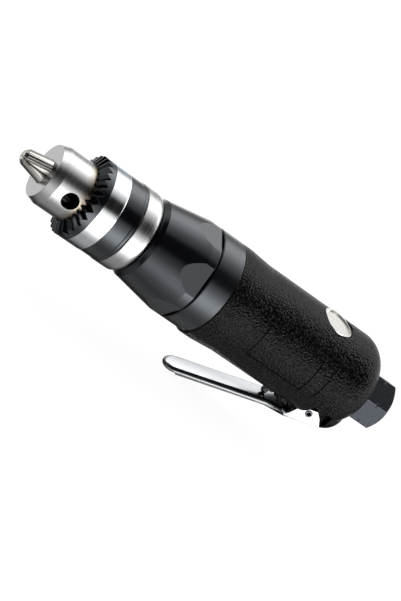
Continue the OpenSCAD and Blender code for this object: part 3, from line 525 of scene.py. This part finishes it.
# The dark colour for the sunk part of the jaws is painted shade.
jaw_painted_shade = (0.04, 0.035, 0.03, 1)
jaw_sunk_x = 13 * mm
ground_steel = chromed("ground_steel", jaw_steel, (0.16, 0.28))
tree = ground_steel.node_tree
shader = tree.nodes["Principled BSDF"]
x_place = add(tree, "SeparateXYZ", {0: place_on_part(tree)}).outputs["X"]
sunk = calc(tree, "GREATER_THAN", x_place, jaw_sunk_x)
unshaded_colour = shader.inputs["Base Color"].links[0].from_socket
shaded_sunk_part = add(tree, "Mix", {"Factor": sunk, "A": unshaded_colour, "B": jaw_painted_shade}, data_type="RGBA")
tree.links.new(shaded_sunk_part.outputs["Result"], shader.inputs["Base Color"])
wear("jaw_1 jaw_2 jaw_3", ground_steel)
print("jaws oily behind", jaw_sunk_x / mm, "mm")

# %% [markdown]
# ## The silver plug
# The plug in the top of the grip was turned too, but about its own upright axis, so its rings are centred
# on the plug: a mapping node moves the middle of the pattern there.

# %% Silver plug
plug_light = (0.68, 0.67, 0.64)
plug_dark = (0.58, 0.57, 0.54)
plug_x = sum(corner[0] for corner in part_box("valve_plug")) / 2
plug_silver, tree, shader = finish("satin_silver", plug_light, 1.0)
centred = add(tree, "Mapping", {"Vector": place_on_part(tree), "Location": (-plug_x, 0, 0)})
parts = add(tree, "SeparateXYZ", {0: centred.outputs[0]})
squares = [calc(tree, "MULTIPLY", parts.outputs[k], parts.outputs[k]) for k in ("X", "Y")]
from_middle = calc(tree, "SQRT", calc(tree, "ADD", *squares))
ring_place = add(tree, "CombineXYZ", {"X": from_middle}).outputs[0]
rings = add(tree, "TexNoise", {"Vector": ring_place, "Scale": 3000.0}).outputs["Fac"]
vary(tree, shader.inputs["Base Color"], rings, plug_dark, plug_light)
vary(tree, shader.inputs["Roughness"], rings, low=0.24, high=0.32)
rough_up(tree, shader, rings, strength=0.1, depth=0.05 * mm)
wear("valve_plug", plug_silver)
print("plug turned about x", round(plug_x / mm, 2), "mm")

# %% [markdown]
# ## The inside
# These pieces show only when the tool is taken apart, but each has the finish of its real material:
# ground bearing steel, cut gears, cast iron round the vanes, laminate vanes, brass, rubber and felt.

# %% Inner pieces
wear("spindle_bearing_outer spindle_bearing_inner spindle_bearing_balls front_bearing_outer "
     "front_bearing_inner front_bearing_balls rear_bearing_outer rear_bearing_inner rear_bearing_balls",
     chromed("bearing_steel", (0.7, 0.7, 0.72), (0.1, 0.2)))
wear("ring_gear planet_gear_1 planet_gear_2 planet_gear_3 chuck_nut",
     cast_metal("gear_steel", (0.35, 0.35, 0.37), (0.28, 0.42), grain=1600))
wear("rotor", turned_metal("rotor_steel", (0.45, 0.45, 0.46), (0.25, 0.4)))
wear("motor_cylinder front_end_plate rear_end_plate", cast_metal("grey_iron", (0.28, 0.28, 0.29)))
wear("throttle_spring", turned_metal("drawn_wire", (0.5, 0.5, 0.52), (0.2, 0.35), lines=2600))
brass = (0.6, 0.42, 0.16)
wear("throttle_bushing", turned_metal("brass", brass, (0.22, 0.36)))
wear("rotor_vanes", moulded_plastic("vane_laminate", (0.2, 0.1, 0.045), (0.5, 0.65), grain=1200))
wear("valve_seal plug_oring inlet_oring",
     moulded_plastic("black_rubber", (0.012, 0.012, 0.012), (0.55, 0.7), grain=900))
wear("spindle_seal", moulded_plastic("felt", (0.12, 0.08, 0.05), (0.85, 0.95), grain=2400))
print("inner finishes done")

# %% [markdown]
# ## The strainer
# A brass strainer deep in the inlet keeps dirt out of the motor. It is woven wire: one set of waves over
# Y and one over Z, and the higher of the two at each spot is the wire that lies on top.

# %% Woven strainer
wire_pitch = 0.8 * mm
screen_weave, tree, shader = finish("woven_brass", brass, 1.0, 0.35)
parts = add(tree, "SeparateXYZ", {0: place_on_part(tree)})
waves = [calc(tree, "MULTIPLY", parts.outputs[k], math.tau / wire_pitch) for k in ("Y", "Z")]
weave = calc(tree, "MAXIMUM", *(calc(tree, "SINE", wave) for wave in waves))
# Where no wire lies high, the gap between the wires is painted dark as shade.
vary(tree, shader.inputs["Base Color"], weave, tinted(brass, 0.04), brass, start=0.2, end=0.5)
rough_up(tree, shader, weave, strength=0.6, depth=0.2 * mm, edge=0.05)
wear("inlet_screen", screen_weave)
print("strainer woven at", wire_pitch / mm, "mm")

# %% [markdown]
# ## Rounded copies
# A ground jaw has its long corners taken off, and a bent sheet is round where it turns. Such an edge
# catches a line of light, so it is modelled. Each rounded piece is a copy of a CAD solid: its loose
# triangles are merged, flat areas become one face again, and picked edges are bevelled. The copy is shown
# in place of the solid.

# %% Rounded copies
merge_gap = 0.002 * mm
flat_angle = math.radians(0.3)
sharp_angle = math.radians(25)


def soft_copy(name, rounds, smooth=35):
    """Shows a copy of a CAD node with picked edges rounded. A round is a test of an edge's two ends, in
    millimetres, with a radius and a number of steps."""
    bpy.ops.object.select_all(action="DESELECT")
    node[name].select_set(True)
    bpy.context.view_layer.objects.active = node[name]
    bpy.ops.object.duplicate()
    copy = bpy.context.object
    copy.name = name + "_soft"
    del copy["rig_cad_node"]
    bpy.ops.object.mode_set(mode="EDIT")
    bpy.ops.mesh.select_mode(type="EDGE")
    bpy.ops.mesh.select_all(action="SELECT")
    bpy.ops.mesh.remove_doubles(threshold=merge_gap)
    bpy.ops.mesh.dissolve_limited(angle_limit=flat_angle)
    picked = 0
    for test, radius, steps in rounds:
        bpy.ops.mesh.select_all(action="DESELECT")
        bpy.ops.mesh.edges_select_sharp(sharpness=sharp_angle)
        bpy.ops.object.mode_set(mode="OBJECT")
        points = copy.data.vertices
        for face in copy.data.polygons:
            face.select = False
        for edge in copy.data.edges:
            edge.select = edge.select and test(*(points[k].co / mm for k in edge.vertices))
            picked += edge.select
        bpy.ops.object.mode_set(mode="EDIT")
        bpy.ops.mesh.bevel(offset=radius * mm, segments=steps, clamp_overlap=False)
    bpy.ops.mesh.select_all(action="SELECT")
    bpy.ops.mesh.normals_make_consistent(inside=False)
    bpy.ops.object.mode_set(mode="OBJECT")
    bpy.ops.object.shade_smooth_by_angle(angle=math.radians(smooth))
    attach(copy, node[name]["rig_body"])
    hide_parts(name)
    print(copy.name, "with", picked, "rounded edges")
    return copy


# %% [markdown]
# ## The jaws
# The three jaws meet in narrow gaps, and the long corners beside the gaps are the ones to round. They are
# found by their turn round the axis, seen from the way in which each jaw moves out, so one test does for
# all three jaws.

# %% Jaws with rounded corners
joints = {joint["name"]: joint for joint in frame["record"]["behaviour"]["joints"]}


def off_axis(point):
    return math.hypot(point.y, point.z)


def on_jaw_side(jaw_way):
    """A test for the long outer edges of a jaw. They lie nearly 60 degrees round the axis from the way in
    which the jaw moves out."""
    least_run, jaw_core_r = 0.3, 1.5
    least_turn, most_turn = 55, 61

    def test(a, b):
        turns = [math.degrees(end.yz.angle(jaw_way, 0)) for end in (a, b)]
        return (abs(a.x - b.x) > least_run and min(off_axis(a), off_axis(b)) > jaw_core_r
                and all(least_turn < turn < most_turn for turn in turns))
    return test


jaw_corner = 0.35
corner_steps = 2
jaw_slides = {"jaw_1": "jaw_a_slide", "jaw_2": "jaw_b_slide", "jaw_3": "jaw_c_slide"}
for jaw, slide in jaw_slides.items():
    jaw_way = Vector(joints[slide]["axis"]).yz
    soft_copy(jaw, [(on_jaw_side(jaw_way), jaw_corner, corner_steps)])

# %% [markdown]
# ## The lever
# The lever is bent from sheet, so the line between its top and its turned-down sides is a round bend. The
# bend shows the dark part of the room as one long dark stripe between the two bright faces.

# %% Lever with a round bend
lever_pin = Vector(joints["lever_press"]["pos_m"]) / mm
lever_rest = math.radians(16.2)
lever_top = -2.6
bend_end = -9.5
bend_half_w = 8.1
bend_r = 1.7
bend_steps = 10
on_top_gap = 0.05
latch_slot_half_w = 3.5
latch_slot_front = -20


def along_lever(point):
    """The place of a point in the lever's own frame: along it from the pin, and up from it."""
    out = point - lever_pin
    return (out.x * math.cos(lever_rest) + out.z * math.sin(lever_rest),
            out.z * math.cos(lever_rest) - out.x * math.sin(lever_rest))


def on_bend(a, b):
    """True for the outer edge of the lever's top, without the slot that the latch goes through."""
    ends = [(*along_lever(end), abs(end.y)) for end in (a, b)]
    on_edge = all(along < bend_end and abs(up - lever_top) < on_top_gap and out < bend_half_w
                  for along, up, out in ends)
    on_slot = all(out < latch_slot_half_w for along, up, out in ends) and ends[0][0] > latch_slot_front
    return on_edge and not on_slot


soft_copy("throttle_lever", [(on_bend, bend_r, bend_steps)])

# %% [markdown]
# ## The throttle spring
# The spring stands between the valve and the plug, and gets shorter when the lever lifts the valve. Its
# copy has smooth shading and a mesh of its own.

# %% Throttle spring
spring = soft_copy("throttle_spring", [], smooth=70)
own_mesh(spring)

# %% [markdown]
# ## The pipe thread of the inlet
# The hose fitting screws into the rear of the inlet, so the bore has a thread. A thread is one ridge that
# climbs while it goes round: a small triangle is drawn beside the bore's axis, and a screw modifier
# sweeps it.

# %% Sweep the thread
inlet = next(mount for mount in frame["record"]["mounts"] if mount["name"] == "air_inlet")
thread_pitch = 1.337 * mm
thread_turns = 8
thread_side = 0.5 * mm
thread_inset = 0.7 * mm
thread_rise = 0.2 * mm
steps_per_turn = 48
thread_r = inlet["dims"]["r_mm"] * mm - thread_rise
bore_bottom = Vector(inlet["pos_m"]) - Vector((inlet["dims"]["length_mm"] * mm, 0, 0))
thread_start = bore_bottom + Vector((thread_inset, 0, 0))
bpy.ops.object.select_all(action="DESELECT")
bpy.ops.mesh.primitive_circle_add(vertices=3, radius=thread_side, location=thread_start)
thread = bpy.context.object
thread.name = "inlet_thread"
bpy.ops.object.mode_set(mode="EDIT")
bpy.ops.mesh.select_all(action="SELECT")
bpy.ops.transform.rotate(value=math.pi / 2, orient_axis="X", center_override=thread_start)
bpy.ops.transform.translate(value=(0, 0, -thread_r))
bpy.ops.object.mode_set(mode="OBJECT")
sweep = thread.modifiers.new("sweep", "SCREW")
sweep.axis = "X"
sweep.screw_offset = thread_pitch
sweep.iterations = thread_turns
sweep.steps = sweep.render_steps = steps_per_turn
bpy.ops.object.modifier_apply(modifier=sweep.name)
bpy.ops.object.transform_apply(location=True)
print("thread swept", thread_turns, "times round")

# %% [markdown]
# ## The ends of the thread
# The swept ridge is open at its two ends. The open edges are the only ones with a face on one side, so
# Blender can select them by that, and each end gets a face. Then the thread takes the finish of the inlet.

# %% Close and finish the thread
bpy.ops.object.mode_set(mode="EDIT")
bpy.ops.mesh.select_all(action="SELECT")
bpy.ops.mesh.remove_doubles(threshold=merge_gap)
bpy.ops.mesh.select_all(action="DESELECT")
bpy.ops.mesh.select_mode(type="EDGE")
bpy.ops.mesh.select_non_manifold()
bpy.ops.mesh.edge_face_add()
bpy.ops.mesh.select_all(action="SELECT")
bpy.ops.mesh.normals_make_consistent(inside=False)
bpy.ops.object.mode_set(mode="OBJECT")
bpy.ops.object.shade_smooth_by_angle(angle=sharp_angle)
thread.data.materials.append(node["inlet_bushing"].material_slots[0].material)
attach(thread, "housing")
print("thread with", thread_turns, "turns,", len(thread.data.polygons), "faces")

# %% [markdown]
# ## The end
# The scene is complete.

# %% End
print("scene built")
